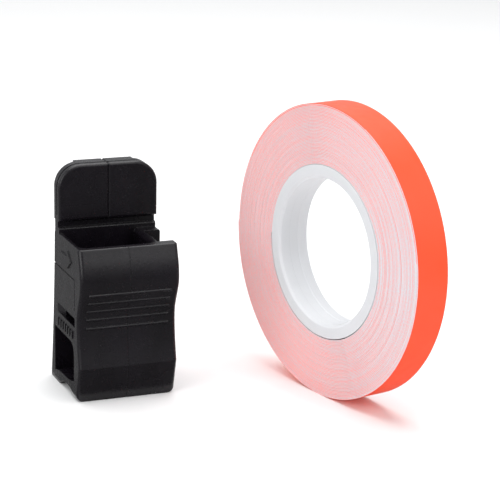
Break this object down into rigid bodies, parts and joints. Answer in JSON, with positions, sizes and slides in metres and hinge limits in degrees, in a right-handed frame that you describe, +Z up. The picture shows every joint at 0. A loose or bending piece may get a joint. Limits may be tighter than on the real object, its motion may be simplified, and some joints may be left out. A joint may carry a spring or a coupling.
{
  "type": "rim stripe tape applicator with tape roll",
  "caption": "Black moulded hand applicator for wheel-rim stripes, with thumb tab, tape slot and side notch, beside an orange stripe tape roll on a white core.",
  "frame": {"origin": "on the surface that both pieces stand on, at the middle of the pair's box", "axes": "+X from the applicator to the tape roll, +Y from the applicator's front to its back, +Z up"},
  "size_m": [0.0582, 0.0561, 0.0559],
  "materials": {
    "black_plastic": "fine moulded texture, satin",
    "white_plastic": "satin",
    "orange_film": "satin fluorescent film",
    "liner_paper": "coated paper"
  },
  "bodies": {
    "applicator": {"applicator_body": "black_plastic"},
    "roll": {"tape_core": "white_plastic", "colour_film": "orange_film", "release_liner": "liner_paper"}
  },
  "joints": [
    {"name": "roll_spin", "type": "hinge", "parent": "applicator", "child": "roll", "pos_m": [0.01942, 0, 0.028], "axis": [0.9744, 0.225, 0], "continuous": true}
  ]
}
